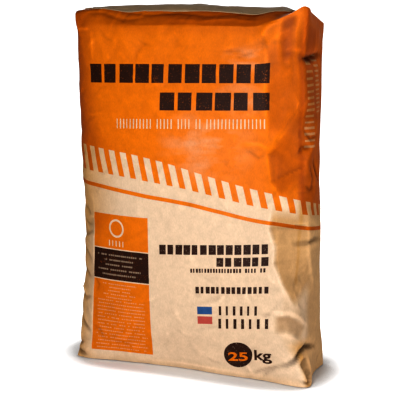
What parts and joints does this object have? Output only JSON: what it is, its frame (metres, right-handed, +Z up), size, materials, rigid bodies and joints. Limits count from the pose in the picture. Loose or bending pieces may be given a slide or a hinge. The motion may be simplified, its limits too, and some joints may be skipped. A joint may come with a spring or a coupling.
{
  "type": "cement bag",
  "caption": "Full paper cement bag standing on its end: a pasted valve sack with bulging faces, folded block ends, pasted cover sheets and a filling sleeve.",
  "frame": {"origin": "centre of the bag's footprint, at the level of the floor that it stands on", "axes": "+Z up along the bag's height, +X along its width to the right of someone who faces the print, +Y from the printed front to the back"},
  "size_m": [0.352, 0.1358, 0.4969],
  "materials": {
    "printed_kraft_paper": "satin printed kraft paper",
    "plain_kraft_paper": "matt kraft paper",
    "sleeve_paper": "matt kraft paper"
  },
  "bodies": {
    "root": {"sack_body": "printed_kraft_paper", "top_cover_sheet": "plain_kraft_paper", "bottom_cover_sheet": "plain_kraft_paper", "valve_sleeve": "sleeve_paper"}
  },
  "joints": []
}
